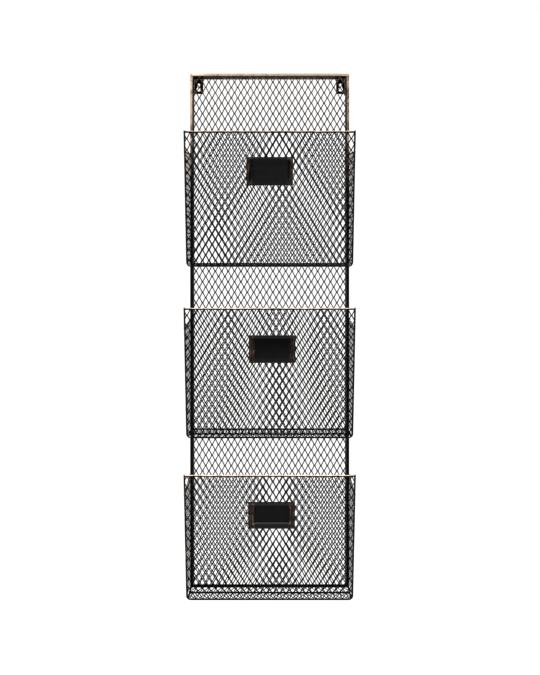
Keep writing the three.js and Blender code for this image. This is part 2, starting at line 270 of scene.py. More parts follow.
@dataclass
class Shader:
    """A small helper that lays out a Principled material's nodes."""

    name: str
    material: bpy.types.Material = field(init=False)
    nodes: bpy.types.Nodes = field(init=False)
    links: bpy.types.NodeLinks = field(init=False)
    surface: bpy.types.Node = field(init=False)
    place: bpy.types.NodeSocket = field(init=False)

    def __post_init__(self) -> None:
        """Makes the empty material."""
        self.material = bpy.data.materials.new(self.name)
        self.material.use_nodes = True
        self.nodes = self.material.node_tree.nodes
        self.links = self.material.node_tree.links
        self.surface = next(n for n in self.nodes if n.type == "BSDF_PRINCIPLED")
        self.place = self.nodes.new("ShaderNodeTexCoord").outputs["Object"]

    def noise(
        self,
        scale: float,
        detail: float = 4.0,
        stretch: tuple[float, float, float] = (1, 1, 1),
        shift: tuple[float, float, float] = (0, 0, 0),
    ) -> bpy.types.NodeSocket:
        """A noise pattern on the piece's own coordinates.

        Args:
            scale: how fine the pattern is, per metre.
            detail: how many octaves it has.
            stretch: its scale along each axis.
            shift: where it is moved to.

        Returns:
            The pattern's factor.
        """
        mapping = self.nodes.new("ShaderNodeMapping")
        mapping.inputs["Scale"].default_value = stretch
        mapping.inputs["Location"].default_value = shift
        texture = self.nodes.new("ShaderNodeTexNoise")
        texture.inputs["Scale"].default_value = scale
        texture.inputs["Detail"].default_value = detail
        self.links.new(self.place, mapping.inputs["Vector"])
        self.links.new(mapping.outputs["Vector"], texture.inputs["Vector"])
        return texture.outputs["Fac"]

    def attribute(self, name: str) -> bpy.types.NodeSocket:
        """The value of one of the mesh's own attributes.

        Args:
            name: the attribute's name.

        Returns:
            The attribute's value.
        """
        node = self.nodes.new("ShaderNodeAttribute")
        node.attribute_name = name
        return node.outputs["Fac"]

    def maths(self, operation: str, first: Amount, second: Amount) -> bpy.types.NodeSocket:
        """One sum of two values.

        Args:
            operation: the Math node's operation.
            first: the first value.
            second: the second value.

        Returns:
            The result.
        """
        node = self.nodes.new("ShaderNodeMath")
        node.operation = operation
        for socket, value in zip(node.inputs, (first, second)):
            if isinstance(value, (int, float)):
                socket.default_value = value
            else:
                self.links.new(value, socket)
        return node.outputs["Value"]

    def around(self, pattern: bpy.types.NodeSocket, gain: float) -> bpy.types.NodeSocket:
        """A pattern moved to vary evenly above and below zero.

        Args:
            pattern: a pattern that varies about one half.
            gain: how far it then varies.

        Returns:
            The moved pattern.
        """
        return self.maths("MULTIPLY", self.maths("SUBTRACT", pattern, 0.5), gain)

    def ramp(
        self,
        factor: bpy.types.NodeSocket,
        low: float,
        high: float,
        first: float = 0.0,
        last: float = 1.0,
    ) -> bpy.types.NodeSocket:
        """Maps a factor between two limits to a smooth range.

        Args:
            factor: what is mapped.
            low: the factor at which the range starts.
            high: the factor at which it ends.
            first: the value at the start.
            last: the value at the end.

        Returns:
            The mapped value.
        """
        node = self.nodes.new("ShaderNodeMapRange")
        node.interpolation_type = "SMOOTHSTEP"
        for name, value in (("From Min", low), ("From Max", high), ("To Min", first), ("To Max", last)):
            node.inputs[name].default_value = value
        self.links.new(factor, node.inputs["Value"])
        return node.outputs["Result"]

    def blend(self, factor: bpy.types.NodeSocket, first: Tint, second: Tint) -> bpy.types.NodeSocket:
        """A colour between two colours.

        Args:
            factor: 0 for the first and 1 for the second.
            first: the first colour.
            second: the second colour.

        Returns:
            The mixed colour.
        """
        node = self.nodes.new("ShaderNodeMix")
        node.data_type = "RGBA"
        colours = [s for s in node.inputs if s.type == "RGBA"]
        for socket, value in zip(colours, (first, second)):
            if isinstance(value, tuple):
                socket.default_value = (*value, 1.0)
            else:
                self.links.new(value, socket)
        self.links.new(factor, next(s for s in node.inputs if s.name == "Factor" and s.type == "VALUE"))
        return next(s for s in node.outputs if s.type == "RGBA")

    def wire(self, socket_name: str, value: Amount | Tint) -> None:
        """Sets one of the surface's sockets, or links it.

        Args:
            socket_name: the socket's name on the Principled shader.
            value: a number, a colour, or another node's socket.
        """
        socket = self.surface.inputs[socket_name]
        if isinstance(value, bpy.types.NodeSocket):
            self.links.new(value, socket)
        elif isinstance(value, tuple):
            socket.default_value = (*value, 1.0)
        else:
            socket.default_value = value

    def bump(self, height: bpy.types.NodeSocket, distance: float, strength: float = 1.0) -> None:
        """Gives the surface a fine relief.

        Args:
            height: the relief's pattern.
            distance: its depth in metres.
            strength: how strongly it shows.
        """
        node = self.nodes.new("ShaderNodeBump")
        node.inputs["Distance"].default_value = distance
        node.inputs["Strength"].default_value = strength
        self.links.new(height, node.inputs["Height"])
        self.links.new(node.outputs["Normal"], self.surface.inputs["Normal"])


@dataclass(frozen=True)
class RubbedPaint:
    """Black paint over steel, rubbed through to bronze where the piece says that it is worn, and painted
    bronze-bright where its upward faces stand in for the top light's highlight.
    """

    name: str
    black: Colour = (0.0045, 0.0045, 0.0047)
    brown: Colour = (0.060, 0.031, 0.018)
    bronze: Colour = (0.42, 0.335, 0.265)
    patch_scale: float = 55.0
    grain_scale: float = 2600.0
    roughness: float = 0.42
    worn_roughness: float = 0.34
    patchiness: float = 1.1
    gloss: float = 0.22

    def make(self) -> bpy.types.Material:
        """Lays out the finish.

        Returns:
            The finished material.
        """
        shader = Shader(self.name)
        # The per-vertex amount is real wear plus a painted highlight on upward faces.
        worn = shader.attribute(WEAR_AND_HIGHLIGHT)
        patches = shader.noise(self.patch_scale, 6.0)
        specks = shader.noise(self.patch_scale * 9, 5.0, shift=(3.1, 1.7, 0.4))
        spread = shader.around(patches, self.patchiness)
        fleck = shader.around(specks, self.patchiness * 0.8)
        wear = shader.maths("ADD", worn, shader.maths("ADD", spread, fleck))
        stained = shader.ramp(wear, 0.12, 0.55)
        bare = shader.ramp(wear, 0.45, 1.0)
        grain = shader.noise(self.grain_scale, 3.0)
        black = shader.blend(patches, self.black, tuple(c * 2.1 for c in self.black))
        brown = shader.blend(specks, self.brown, tuple(c * 0.45 for c in self.brown))
        colour = shader.blend(bare, shader.blend(stained, black, brown), self.bronze)
        shader.wire("Base Color", colour)
        shader.wire("Metallic", shader.ramp(wear, 0.5, 1.1, 0.0, 0.55))
        rough = shader.ramp(wear, 0.3, 0.9, self.roughness, self.worn_roughness)
        shader.wire("Roughness", shader.maths("ADD", rough, shader.around(specks, 0.22)))
        shader.wire("Specular IOR Level", self.gloss)
        relief = shader.maths("ADD", grain, shader.maths("MULTIPLY", bare, -0.6))
        shader.bump(relief, 0.00009, 0.55)
        return shader.material


@dataclass(frozen=True)
class SmudgedCard:
    """Matte black card with a faint fibre grain and a few warm finger smudges."""

    name: str
    black: Colour = (0.0125, 0.0125, 0.0122)
    smudge: Colour = (0.022, 0.021, 0.0165)
    fibre_scale: float = 1900.0
    smudge_scale: float = 62.0

    def make(self) -> bpy.types.Material:
        """Lays out the finish.

        Returns:
            The finished material.
        """
        shader = Shader(self.name)
        fibres = shader.noise(self.fibre_scale, 4.0, stretch=(1.0, 1.0, 0.25))
        smudges = shader.noise(self.smudge_scale, 2.5, shift=(0.7, 0.2, 5.3))
        mask = shader.ramp(smudges, 0.58, 0.8)
        thin, thick = (tuple(c * share for c in self.black) for share in (0.75, 1.35))
        fibre_tone = shader.blend(fibres, thin, thick)
        shader.wire("Base Color", shader.blend(mask, fibre_tone, self.smudge))
        shader.wire("Roughness", shader.ramp(smudges, 0.5, 0.75, 0.82, 0.62))
        shader.wire("Specular IOR Level", 0.1)
        shader.bump(fibres, 0.00004, 0.5)
        return shader.material


@dataclass(frozen=True)
class PaleFloor:
    """A plain pale studio surface."""

    name: str = "pale_floor"
    tone: float = 0.3
    glow: float = 0.66

    def make(self) -> bpy.types.Material:
        """Lays out the finish.

        Returns:
            The finished material.
        """
        shader = Shader(self.name)
        mottle = shader.noise(1.3, 3.0)
        shader.wire("Base Color", shader.blend(mottle, (self.tone,) * 3, (self.tone * 0.97,) * 3))
        shader.wire("Emission Color", (1.0, 1.0, 1.0))
        shader.wire("Emission Strength", self.glow)
        shader.wire("Roughness", 0.9)
        shader.wire("Specular IOR Level", 0.1)
        return shader.material


class Finish(enum.Enum):
    """The rack's finishes, each by the record's slot that it dresses."""

    FRAME = "black_paint"
    WIRE = "rubbed_paint"
    MESH = "mesh_paint"
    HOLDER = "holder_paint"
    CARD = "card"


def make_finishes() -> dict[Finish, bpy.types.Material]:
    """Makes every finish once.

    Returns:
        The materials by finish.
    """
    return {
        Finish.FRAME: RubbedPaint("frame_paint", gloss=0.07, roughness=0.55).make(),
        # The wires' pale cream bronze paints the top light's highlight on the rims, as well as their
        # rubbed metal.
        Finish.WIRE: RubbedPaint(
            "wire_paint", bronze=(0.72, 0.61, 0.50), patch_scale=90.0, gloss=0.12
        ).make(),
        Finish.MESH: RubbedPaint(
            "strand_paint", bronze=(0.20, 0.135, 0.10), patch_scale=34.0, gloss=0.07
        ).make(),
        Finish.HOLDER: RubbedPaint("stamped_paint", patch_scale=120.0, roughness=0.3, gloss=0.26).make(),
        Finish.CARD: SmudgedCard("label_card_stock").make(),
    }


# ---------------------------------------------------------------- expanded metal


@dataclass(frozen=True)
class ExpandedMetal:
    """Expanded steel: zigzag strands, each joined to its neighbours in short bonds.

    The diamonds are taller than wide, and the strands run along y in a flat drawing whose x is across.
    """

    pitch_across: float = 0.0123
    pitch_along: float = 0.0202
    strand: float = 0.002
    thickness: float = 0.0006
    bond: float = 0.0018
    ripple: float = 0.00018
    overlap: float = 0.00012
    sides: int = 6

    def strand_mesh(self, length: float) -> bmesh.types.BMesh:
        """One zigzag strand that starts at the origin.

        Args:
            length: the least length that it covers along y.

        Returns:
            The strand's mesh.
        """
        bm = bmesh.new()
        swing = self.pitch_across / 4 - self.strand / 2 + self.overlap
        half_pitch = self.pitch_along / 2
        face_on = Matrix.Rotation(math.pi / 2, 4, "X")
        size = Matrix.Diagonal((self.strand / 2, self.thickness / 2, 1, 1))
        bmesh.ops.create_circle(bm, cap_ends=True, segments=self.sides, radius=1.08, matrix=face_on @ size)
        tip = bm.faces[:]
        here = Vector((swing, 0, self.ripple))
        bmesh.ops.translate(bm, verts=bm.verts[:], vec=here)
        for index in range(math.ceil(length / half_pitch)):
            way = -1 if index % 2 == 0 else 1
            stops = (
                Vector((-way * swing, index * half_pitch + self.bond, -way * self.ripple)),
                Vector((way * swing, (index + 1) * half_pitch, way * self.ripple)),
            )
            for stop in stops:
                tip = draw_out(bm, tip, stop - here)
                here = stop
        bmesh.ops.recalc_face_normals(bm, faces=bm.faces[:])
        return bm

    def sheet(
        self,
        across: tuple[float, float],
        along: tuple[float, float],
        phase: tuple[float, float],
    ) -> bmesh.types.BMesh:
        """A flat rectangular sheet, with z towards its face.

        Args:
            across: where it starts and ends along x.
            along: where it starts and ends along y.
            phase: how far the pattern is shifted along x and y.

        Returns:
            The sheet's mesh, with its strands cut and closed at the edges.
        """
        length = along[1] - along[0] + 3 * self.pitch_along
        bm = self.strand_mesh(length)
        base = everything(bm)
        spacing = self.pitch_across / 2
        count = math.ceil((across[1] - across[0]) / spacing) + 3
        x_start = across[0] - spacing + phase[0] % self.pitch_across - self.pitch_across / 2
        y_start = along[0] - self.pitch_along + phase[1] % self.pitch_along - self.pitch_along / 2
        for index in range(1, count + 2):
            copy = bmesh.ops.duplicate(bm, geom=base)["geom"]
            step = Vector((x_start + index * spacing, y_start + (index % 2) * self.pitch_along / 2, 0))
            bmesh.ops.translate(bm, verts=only(bmesh.types.BMVert, copy), vec=step)
        bmesh.ops.delete(bm, geom=only(bmesh.types.BMVert, base), context="VERTS")
        clip(bm, Vector((across[0], 0, 0)), Vector((-1, 0, 0)))
        clip(bm, Vector((across[1], 0, 0)), Vector((1, 0, 0)))
        clip(bm, Vector((0, along[0], 0)), Vector((0, -1, 0)))
        clip(bm, Vector((0, along[1], 0)), Vector((0, 1, 0)))
        return bm


# ---------------------------------------------------------------- frame


@dataclass
class AngleFrame:
    """The rack's back frame: steel angle on three sides, a flat bar below, mesh and hanger plates."""

    finishes: dict[Finish, bpy.types.Material]
    metal: ExpandedMetal
    edge_round: float = 0.00045
    length_step: float = 0.03
    seam: float = 0.0004
    back_phase: tuple[float, float] = (-0.0035, 0.00025)
    front: float = field(init=False)
    lip: float = field(init=False)
    top: float = field(init=False)
    half: float = field(init=False)
    inside: float = field(init=False)
    bottom: float = field(init=False)
    sheet: float = field(init=False)

    def __post_init__(self) -> None:
        """Reads the frame's sizes from its nodes."""
        rail_low, rail_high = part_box("frame_top_rail")
        self.front = rail_low.y
        self.lip = rail_high.z - rail_low.z
        self.top = rail_high.z
        self.half = rail_high.x
        self.inside = self.half - self.lip
        bar_low, bar_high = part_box("frame_bottom_rail")
        self.bottom = bar_low.z
        self.sheet = bar_high.y - bar_low.y

    def angle(self, start: Vector, end: Vector, lip_way: Vector) -> bmesh.types.BMesh:
        """A length of steel angle with its web running back to the wall.

        Args:
            start: the inner front corner, where lip and web meet, at one end.
            end: the same corner at the other end.
            lip_way: the direction in which the lip points.

        Returns:
            The length's mesh, with softened edges.
        """
        bm = bmesh.new()
        run = end - start
        # The section is a square at the corner, with one strip drawn out for the lip and one for the web.
        turn = Matrix((lip_way, BACK, lip_way.cross(BACK))).transposed().to_4x4()
        middle = Matrix.Translation(start + (lip_way + BACK) * self.sheet / 2)
        bmesh.ops.create_grid(bm, x_segments=1, y_segments=1, size=self.sheet / 2, matrix=middle @ turn)
        reach = {"lip": lip_way * (self.lip - self.sheet), "web": BACK * (-self.front - self.sheet)}
        edges = {
            name: max(bm.edges, key=lambda e: sum(v.co.dot(way) for v in e.verts))
            for name, way in reach.items()
        }
        for name, way in reach.items():
            made = bmesh.ops.extrude_edge_only(bm, edges=[edges[name]])["geom"]
            bmesh.ops.translate(bm, verts=only(bmesh.types.BMVert, made), vec=way)
        steps = max(1, round(run.length / self.length_step))
        tip = bm.faces[:]
        for _ in range(steps):
            tip = draw_out(bm, tip, run / steps)
        bmesh.ops.recalc_face_normals(bm, faces=bm.faces[:])
        sharp = [e for e in bm.edges if e.is_manifold and e.calc_face_angle(0.0) > math.radians(60)]
        soften(bm, sharp, self.edge_round)
        return bm

    def top_rail(self) -> None:
        """Builds the top rail, worn along its lip and painted lighter along its top as a highlight, with
        the lip alone running on to the corners.
        """
        under = self.top - self.lip
        corner = self.inside + self.sheet
        ends = [Vector((x, self.front, under)) for x in (-corner, corner)]
        bm = self.angle(*ends, UP)
        for left, right in ((-self.half, -corner + self.seam), (corner - self.seam, self.half)):
            low = Vector((left, self.front, under))
            high = Vector((right, self.front + self.sheet, self.top))
            soften(bm, add_block(bm, low, high), self.edge_round)
        # The front gain is the lip's rubbed bronze; the upward gain paints the top light's highlight.
        set_wear_and_highlight(bm, 0.0, {"front": 1.05, "up": 0.5})
        self.keep(bm, "frame_top_rail", Finish.FRAME)

    def stiles(self) -> None:
        """Builds the two stiles, worn at their tops and dark lower down."""
        drop = self.top - self.bottom

        def fade(place: Vector) -> float:
            """How much of the wear is left at a height.

            Args:
                place: a point on the stile.

            Returns:
                Full wear above the first pocket, fading out by two thirds of the way down it.
            """
            down = (self.top - place.z) / drop
            return 1.0 - min(1.0, max(0.0, (down - 0.11) / 0.17))

        head_z = self.top - self.lip
        # The left stile's greater wear also paints it brighter, as under the key light from the upper
        # left.
        for side, hand, wear in ((-1, "left", 0.88), (1, "right", 0.78)):
            foot = Vector((side * self.inside, self.front, self.bottom))
            head = Vector((side * self.inside, self.front, head_z))
            bm = self.angle(foot, head, Vector((side, 0, 0)))
            weld = Vector((side * (self.inside + self.sheet / 2), self.front / 2, head_z))
            add_bead(bm, weld, self.sheet * 0.7, (1, 4, 0.6))
            set_wear_and_highlight(bm, 0.0, {"front": wear, "left": 0.15, "right": 0.15}, fade)
            self.keep(bm, f"frame_{hand}_stile", Finish.FRAME)

    def bottom_rail(self) -> None:
        """Builds the flat bar between the feet of the stiles."""
        low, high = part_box("frame_bottom_rail")
        bm = bmesh.new()
        weld = Vector((self.seam, 0, 0))
        soften(bm, add_block(bm, low - weld, high + weld), self.edge_round)
        set_wear_and_highlight(bm, 0.0, {"up": 0.15})
        self.keep(bm, "frame_bottom_rail", Finish.FRAME)

    def back_mesh(self) -> None:
        """Builds the back's expanded metal, browner towards the top and the edges."""
        low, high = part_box("back_mesh")
        height = high.z - low.z
        bm = self.metal.sheet((low.x, high.x), (0.0, height), self.back_phase)
        foot = Vector((0, (low.y + high.y) / 2, low.z))
        bmesh.ops.transform(bm, matrix=lift_plane(foot), verts=bm.verts[:])

        def fade(place: Vector) -> float:
            """How much browner the strands are at a place.

            Args:
                place: a point on the mesh.

            Returns:
                A factor that grows in the top sixth, and towards the left and right edges.
            """
            up = (place.z - low.z) / height
            edge = abs(place.x) / high.x
            return 0.35 + 4.2 * max(0.0, up - 0.84) / 0.16 + 0.35 * edge ** 3

        set_wear_and_highlight(bm, 0.16, {"up": 0.1, "front": 0.12}, fade)
        self.keep(bm, "back_mesh", Finish.MESH)

    def hanger_plates(self) -> None:
        """Dresses the two keyhole plates, which keep their own shape with softened edges."""
        for hand in ("left", "right"):
            node = bpy.data.objects[f"{hand}_hanger_plate"]
            node.data.materials.clear()
            node.data.materials.append(self.finishes[Finish.FRAME])
            soft = node.modifiers.new("softened_edges", "BEVEL")
            soft.width = self.edge_round / 2
            soft.segments = 2

    def keep(self, bm: bmesh.types.BMesh, node: str, finish: Finish) -> None:
        """Finishes one of the frame's pieces."""
        finish_piece(bm, node, "rack", self.finishes[finish])

    def build(self) -> None:
        """Builds the whole frame."""
        self.top_rail()
        self.stiles()
        self.bottom_rail()
        self.back_mesh()
        self.hanger_plates()


# ---------------------------------------------------------------- pockets


@dataclass
class Pocket:
    """One leaning pocket: its wires, its five sides of expanded metal, and its label."""

    name: str
    finishes: dict[Finish, bpy.types.Material]
    metal: ExpandedMetal
    mesh_phase: tuple[float, float]
    wire: float = 0.0015
    rim: float = 0.00175
    corner: float = 0.007
    tip: float = 0.0025
    bead: float = 1.35
    small_bead: float = 1.2
    seam: float = 0.0003
    trim: float = 0.004
    wire_sides: int = 14
    side_phase: tuple[float, float] = (0.002, 0.006)
    rim_at: Vector = field(init=False)
    foot_at: Vector = field(init=False)
    side: float = field(init=False)
    lean: float = field(init=False)
    slope: float = field(init=False)
    front_face: Matrix = field(init=False)
    frame_front: float = field(init=False)

    def __post_init__(self) -> None:
        """Reads the pocket's places from its nodes."""
        low, high = self.box("rim_wire")
        self.rim_at = (low + high) / 2
        low, high = self.box("front_bottom_wire")
        self.foot_at = (low + high) / 2
        self.side = self.box("right_upright")[1].x - self.wire
        run = self.rim_at - self.foot_at
        self.lean = math.atan2(-run.y, run.z)
        self.slope = math.hypot(run.y, run.z)
        self.front_face = lift_plane(Vector((0, self.foot_at.y, self.foot_at.z)), self.lean)
        self.frame_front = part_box("frame_top_rail")[0].y

    def box(self, part: str) -> tuple[Vector, Vector]:
        """The box of one of this pocket's nodes."""
        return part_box(f"{self.name}_{part}")

    def keep(self, bm: bmesh.types.BMesh, part: str, finish: Finish, body: str = "rack") -> None:
        """Finishes one of the pocket's pieces."""
        finish_piece(bm, f"{self.name}_{part}", body, self.finishes[finish])

    def rim_wire(self) -> None:
        """Builds the rim, welded to the uprights, with a painted highlight of pale bronze along its top.
        """
        bm = bmesh.new()
        reach = self.side - self.wire * 0.4
        ends = [Vector((x, *self.rim_at.yz)) for x in (-reach, reach)]
        add_rod(bm, *ends, self.rim, 16, 24)
        for side in (-1, 1):
            weld = Vector((side * (self.side - self.wire), *self.rim_at.yz))
            add_bead(bm, weld, self.rim * self.small_bead)
        # The strong upward gain paints the top light's highlight along the rim's top.
        set_wear_and_highlight(bm, 0.08, {"up": 1.35})
        self.keep(bm, "rim_wire", Finish.WIRE)

    def uprights(self) -> None:
        """Builds the two uprights, each spun round its corner at the foot."""
        for side, hand in ((-1, "left"), (1, "right")):
            bm = bmesh.new()
            down = Matrix.Rotation(math.pi / 2, 4, "X")
            bmesh.ops.create_circle(
                bm, cap_ends=True, segments=self.wire_sides, radius=self.wire, matrix=down
            )
            bmesh.ops.translate(bm, verts=bm.verts[:], vec=(side * self.side, self.slope + self.tip, 0))
            tip = bm.faces[:]
            steps = 16
            straight = self.slope + self.tip - self.corner
            for _ in range(steps):
                tip = draw_out(bm, tip, -BACK * straight / steps)
            centre = Vector((side * (self.side - self.corner), self.corner, 0))
            turn = -side * math.pi / 2
            bmesh.ops.spin(bm, geom=tip, cent=centre, axis=UP, angle=turn, steps=8)
            bmesh.ops.remove_doubles(bm, verts=bm.verts[:], dist=1e-6)
            bmesh.ops.recalc_face_normals(bm, faces=bm.faces[:])
            ends = [e for f in bm.faces if len(f.verts) > 4 for e in f.edges]
            soften(bm, ends, self.wire * 0.3)
            bmesh.ops.transform(bm, matrix=self.front_face, verts=bm.verts[:])
            # Upward faces get a painted highlight of bronze; the outer side gets rubbed wear.
            set_wear_and_highlight(bm, 0.08, {"up": 0.8, hand: 0.22})
            self.keep(bm, f"{hand}_upright", Finish.WIRE)

    def front_bottom_wire(self) -> None:
        """Builds the bottom wire of the front, which meets the feet of the uprights."""
        bm = bmesh.new()
        reach = self.side - self.corner
        ends = [Vector((x, *self.foot_at.yz)) for x in (-reach, reach)]
        add_rod(bm, *ends, self.wire, self.wire_sides, 20)
        set_wear_and_highlight(bm, 0.0, {"up": 0.12})
        self.keep(bm, "front_bottom_wire", Finish.FRAME)

    def side_wires(self) -> None:
        """Builds the sides' top wires and foot wires, with beads where they are welded."""
        for side, hand in ((-1, "left"), (1, "right")):
            low, high = self.box(f"{hand}_side_top_wire")
            x = side * self.side
            slope = Vector((0, high.y - low.y, high.z - low.z - 2 * self.wire)).normalized()
            front = Vector((x, low.y, low.z + self.wire)) - slope * self.wire * 1.1
            back = Vector((x, high.y, high.z - self.wire)) + slope * self.seam
            bm = bmesh.new()
            add_rod(bm, front, back, self.wire, self.wire_sides, 8)
            for end in (front, back - slope * self.wire * 0.6):
                add_bead(bm, end, self.wire * self.bead)
            # Upward faces of the side top wires get a painted highlight of bronze.
            set_wear_and_highlight(bm, 0.14, {"up": 0.5})
            self.keep(bm, f"{hand}_side_top_wire", Finish.WIRE)

            low, high = self.box(f"{hand}_side_foot_wire")
            middle = (low + high) / 2
            front = Vector((middle.x, low.y - self.wire, middle.z))
            back = Vector((middle.x, high.y + self.seam, middle.z))
            bm = bmesh.new()
            add_rod(bm, front, back, self.wire, self.wire_sides, 4)
            add_bead(bm, back - Vector((0, self.wire * 0.6, 0)), self.wire * self.bead)
            set_wear_and_highlight(bm, 0.02, {"up": 0.1})
            self.keep(bm, f"{hand}_side_foot_wire", Finish.FRAME)

    def floor_wires(self) -> None:
        """Builds the floor's back wire and its middle stiffening wire."""
        for place in ("back", "middle"):
            low, high = self.box(f"floor_{place}_wire")
            middle = (low + high) / 2
            bm = bmesh.new()
            ends = [Vector((x, *middle.yz)) for x in (low.x - 2 * self.seam, high.x + 2 * self.seam)]
            add_rod(bm, *ends, self.wire, self.wire_sides, 20)
            for x in (low.x, high.x):
                add_bead(bm, Vector((x, *middle.yz)), self.wire * self.small_bead)
            set_wear_and_highlight(bm, 0.0, {"up": 0.14})
            self.keep(bm, f"floor_{place}_wire", Finish.FRAME)

    def front_mesh(self) -> None:
        """Builds the front's expanded metal, its lower corners cut to the uprights' bends."""
        bm = self.metal.sheet((-self.side, self.side), (0.0, self.slope), self.mesh_phase)
        for side in (-1, 1):
            centre = Vector((side * (self.side - self.corner), self.corner, 0))
            outward = Vector((side, -1, 0)).normalized()
            clip(bm, centre + outward * self.corner, outward)
        bmesh.ops.transform(bm, matrix=self.front_face, verts=bm.verts[:])

        def fade(place: Vector) -> float:
            """Browner towards the uprights."""
            return 0.4 + 0.8 * (abs(place.x) / self.side) ** 4

        set_wear_and_highlight(bm, 0.1, {"up": 0.1, "front": 0.05}, fade)
        self.keep(bm, "front_mesh", Finish.MESH)

    def side_meshes(self) -> None:
        """Builds the sides' expanded metal, curved in at the foot to meet the floor.

        Each is cut flat, to the line of the upright and of the side's top wire, and then bent.
        """
        low, high = self.box("right_side_mesh")
        sheet_z = low.z + self.metal.thickness / 2
        arc = self.corner * math.pi / 2
        depth = -(low.y - self.frame_front)
        rise = high.z - sheet_z - self.corner
        wire_low, wire_high = self.box("right_side_top_wire")
        top_back = wire_high.z - self.wire - sheet_z - self.corner + arc
        top_front = wire_low.z + self.wire - sheet_z - self.corner + arc
        foot_depth = self.frame_front - self.foot_at.y
        for side, hand in ((-1, "left"), (1, "right")):
            size = (depth + self.trim, rise + arc + self.trim)
            bm = self.metal.sheet((0.0, size[0]), (0.0, size[1]), self.side_phase)
            foot = Vector((foot_depth + (sheet_z - self.foot_at.z) * math.tan(self.lean), 0, 0))
            clip(bm, foot, Vector((math.cos(self.lean), -math.sin(self.lean), 0)))
            along_top = Vector((depth, top_front - top_back, 0)).normalized()
            clip(bm, Vector((0, top_back, 0)), Vector((-along_top.y, along_top.x, 0)))
            for vert in bm.verts:
                out, up, off = vert.co
                turn = min(max(up, 0.0), arc) / self.corner
                reach = self.corner + off
                across = self.side - self.corner + reach * math.sin(turn)
                height = sheet_z + self.corner - reach * math.cos(turn) + max(0.0, up - arc)
                vert.co = Vector((side * across, self.frame_front - out, height))
            bmesh.ops.recalc_face_normals(bm, faces=bm.faces[:])
            set_wear_and_highlight(bm, 0.12, {"up": 0.1, "left": 0.1, "right": 0.1})
            self.keep(bm, f"{hand}_side_mesh", Finish.MESH)

    def floor_mesh(self) -> None:
        """Builds the floor's expanded metal, whose strands run from front to back."""
        low, high = self.box("floor_mesh")
        half = self.side - self.corner
        front = self.foot_at.y
        bm = self.metal.sheet((-half, half), (0.0, high.y + 2 * self.seam - front), self.mesh_phase)
        bmesh.ops.translate(bm, vec=(0, front, (low.z + high.z) / 2), verts=bm.verts[:])
        set_wear_and_highlight(bm, 0.05, {"up": 0.1})
        self.keep(bm, "floor_mesh", Finish.MESH)

    def build(self) -> None:
        """Builds the whole pocket and its label."""
        self.rim_wire()
        self.uprights()
        self.front_bottom_wire()
        self.side_wires()
        self.floor_wires()
        self.front_mesh()
        self.side_meshes()
        self.floor_mesh()
        Label(self).build()


@dataclass
class Ring:
    """One rounded rectangle of a stamped profile."""

    half_width: float
    low: float
    high: float
    out: float
    round: float
    wear: float


